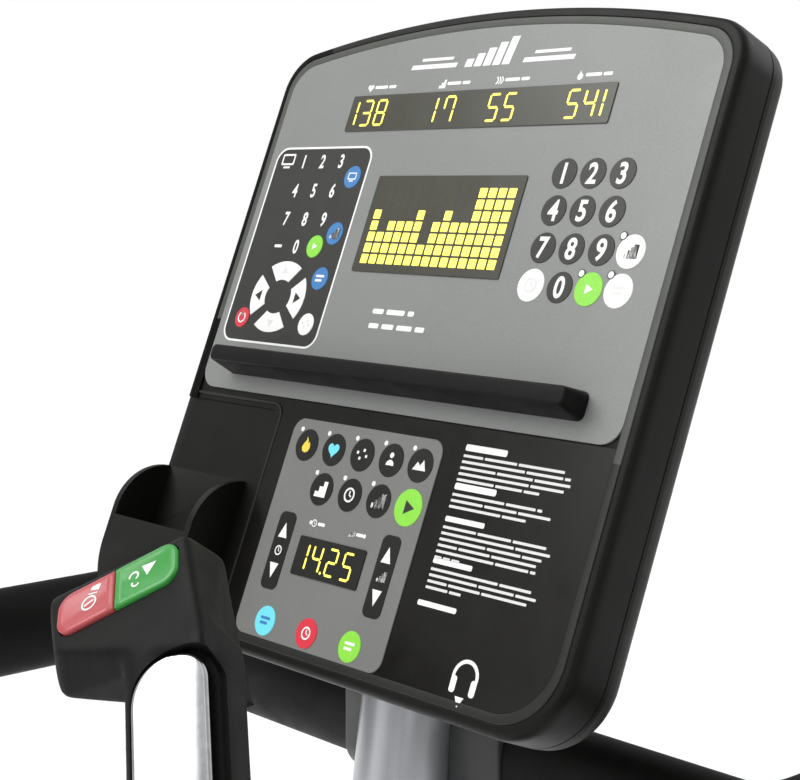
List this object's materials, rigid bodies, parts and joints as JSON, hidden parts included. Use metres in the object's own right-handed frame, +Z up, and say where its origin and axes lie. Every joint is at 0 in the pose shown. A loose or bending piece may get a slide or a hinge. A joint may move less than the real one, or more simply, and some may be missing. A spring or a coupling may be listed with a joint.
{
  "type": "stair climber",
  "caption": "Pedal stair climber with sprung levers on parallel links, covered drive, raked mast, wrap-around handrail, pulse grips and a tilted console.",
  "frame": {"origin": "on the floor at the middle of the footprint", "axes": "+X the user's right, +Y forward towards the mast, +Z up"},
  "size_m": [0.738, 1.27, 1.6899],
  "materials": {
    "black_steel": "satin powder coat",
    "grey_steel": "semi-gloss powder coat",
    "silver_mast": "fine metallic silver paint",
    "bare_steel": "machined",
    "zinc_steel": "zinc plated",
    "alloy": "cast and machined",
    "sensor_metal": "polished and lightly brushed",
    "black_rubber": "matte",
    "soft_black": "satin soft-touch overmould",
    "shroud_grey": "fine moulded texture",
    "console_black": "fine moulded texture",
    "console_cover": "moulded texture",
    "panel_grey": "printed polyester film",
    "panel_black": "glossy printed film",
    "keypad_grey": "printed polyester film",
    "smoked_window": "smoked acrylic",
    "circuit_board": "glass epoxy",
    "button_green": "satin moulded",
    "button_red": "satin moulded",
    "belt_rubber": "ribbed",
    "webbing": "woven"
  },
  "bodies": {
    "frame": {"base_rails": "grey_steel", "cross_members": "grey_steel", "drive_plates": "black_steel", "bumpers": "black_rubber", "leveling_feet": "black_rubber", "wheel_axles": "zinc_steel", "mast": "silver_mast", "mast_boot": "black_rubber", "rail_end_caps": "soft_black", "rail_bracket": "black_steel", "pivot_shafts": "bare_steel", "return_springs": "bare_steel", "climb_straps": "webbing", "shaft_bearings": "bare_steel", "drive_belt": "belt_rubber", "alternator": "alloy", "controller": "console_cover", "upper_panel": "panel_grey", "lower_panel": "panel_black", "console_screws": "zinc_steel", "console_bracket": "black_steel", "console_housing": "console_black", "console_back": "console_cover", "key_panel": "keypad_grey", "display_windows": "smoked_window", "reading_shelf": "console_black", "accessory_tray": "console_black", "console_board": "circuit_board", "headphone_jack": "console_cover", "console_trim_left": "console_black", "console_trim_right": "console_black", "shroud_left": "shroud_grey", "shroud_right": "shroud_grey", "handrail_left": "soft_black", "handrail_right": "soft_black", "hand_grip_left": "soft_black", "hand_grip_right": "soft_black", "pulse_sensor_left": "sensor_metal", "pulse_sensor_right": "sensor_metal"},
    "input_shaft": {"input_shaft": "bare_steel", "drive_pulley": "alloy"},
    "alternator_rotor": {"alternator_rotor": "bare_steel"},
    "lever_left": {"lever_left": "grey_steel", "lever_bushes_left": "alloy"},
    "pedal_left": {"pedal_carrier_left": "black_steel", "pedal_left": "console_black"},
    "link_left": {"link_left": "grey_steel"},
    "drum_left": {"drum_left": "alloy"},
    "level_button_left": {"level_button_left": "button_green"},
    "stop_button_left": {"stop_button_left": "button_red"},
    "wheel_left": {"transport_wheel_left": "black_rubber"},
    "lever_right": {"lever_right": "grey_steel", "lever_bushes_right": "alloy"},
    "pedal_right": {"pedal_carrier_right": "black_steel", "pedal_right": "console_black"},
    "link_right": {"link_right": "grey_steel"},
    "drum_right": {"drum_right": "alloy"},
    "level_button_right": {"level_button_right": "button_green"},
    "stop_button_right": {"stop_button_right": "button_red"},
    "wheel_right": {"transport_wheel_right": "black_rubber"}
  },
  "joints": [
    {"name": "climb_left", "type": "hinge", "parent": "frame", "child": "lever_left", "pos_m": [-0.115, 0.23, 0.345], "axis": [1, 0, 0], "range_deg": [0, 28], "stiffness_Nm_per_rad": 60, "springref_deg": -54.43},
    {"name": "pedal_level_left", "type": "hinge", "parent": "lever_left", "child": "pedal_left", "pos_m": [-0.115, -0.2982, 0.45727], "axis": [1, 0, 0], "range_deg": [-28, 0]},
    {"name": "link_swing_left", "type": "hinge", "parent": "frame", "child": "link_left", "pos_m": [-0.115, 0.23, 0.255], "axis": [1, 0, 0], "range_deg": [0, 28]},
    {"name": "drum_turn_left", "type": "hinge", "parent": "frame", "child": "drum_left", "pos_m": [-0.068, 0.47, 0.47], "axis": [1, 0, 0], "range_deg": [0, 112]},
    {"name": "level_press_left", "type": "slide", "parent": "frame", "child": "level_button_left", "axis": [0.02, 0.6994, -0.7144], "range_m": [0, 0.0012], "stiffness_N_per_m": 900, "springref_m": -0.002},
    {"name": "stop_press_left", "type": "slide", "parent": "frame", "child": "stop_button_left", "axis": [0.02, 0.6994, -0.7144], "range_m": [0, 0.0012], "stiffness_N_per_m": 900, "springref_m": -0.002},
    {"name": "wheel_roll_left", "type": "hinge", "parent": "frame", "child": "wheel_left", "pos_m": [-0.314, 0.6, 0.042], "axis": [1, 0, 0], "continuous": true},
    {"name": "climb_right", "type": "hinge", "parent": "frame", "child": "lever_right", "pos_m": [0.115, 0.23, 0.345], "axis": [1, 0, 0], "range_deg": [0, 28], "stiffness_Nm_per_rad": 60, "springref_deg": -54.43},
    {"name": "pedal_level_right", "type": "hinge", "parent": "lever_right", "child": "pedal_right", "pos_m": [0.115, -0.2982, 0.45727], "axis": [1, 0, 0], "range_deg": [-28, 0]},
    {"name": "link_swing_right", "type": "hinge", "parent": "frame", "child": "link_right", "pos_m": [0.115, 0.23, 0.255], "axis": [1, 0, 0], "range_deg": [0, 28]},
    {"name": "drum_turn_right", "type": "hinge", "parent": "frame", "child": "drum_right", "pos_m": [0.068, 0.47, 0.47], "axis": [1, 0, 0], "range_deg": [0, 112]},
    {"name": "level_press_right", "type": "slide", "parent": "frame", "child": "level_button_right", "axis": [-0.02, 0.6994, -0.7144], "range_m": [0, 0.0012], "stiffness_N_per_m": 900, "springref_m": -0.002},
    {"name": "stop_press_right", "type": "slide", "parent": "frame", "child": "stop_button_right", "axis": [-0.02, 0.6994, -0.7144], "range_m": [0, 0.0012], "stiffness_N_per_m": 900, "springref_m": -0.002},
    {"name": "wheel_roll_right", "type": "hinge", "parent": "frame", "child": "wheel_right", "pos_m": [0.314, 0.6, 0.042], "axis": [1, 0, 0], "continuous": true},
    {"name": "shaft_spin", "type": "hinge", "parent": "frame", "child": "input_shaft", "pos_m": [0, 0.47, 0.47], "axis": [1, 0, 0], "continuous": true},
    {"name": "rotor_spin", "type": "hinge", "parent": "frame", "child": "alternator_rotor", "pos_m": [0, 0.48, 0.19], "axis": [1, 0, 0], "continuous": true}
  ],
  "couplings": [
    {"joint": "pedal_level_left", "follows": "climb_left", "ratio": -1},
    {"joint": "link_swing_left", "follows": "climb_left", "ratio": 1},
    {"joint": "drum_turn_left", "follows": "climb_left", "ratio": 4},
    {"joint": "pedal_level_right", "follows": "climb_right", "ratio": -1},
    {"joint": "link_swing_right", "follows": "climb_right", "ratio": 1},
    {"joint": "drum_turn_right", "follows": "climb_right", "ratio": 4},
    {"joint": "rotor_spin", "follows": "shaft_spin", "ratio": 4.5455}
  ]
}
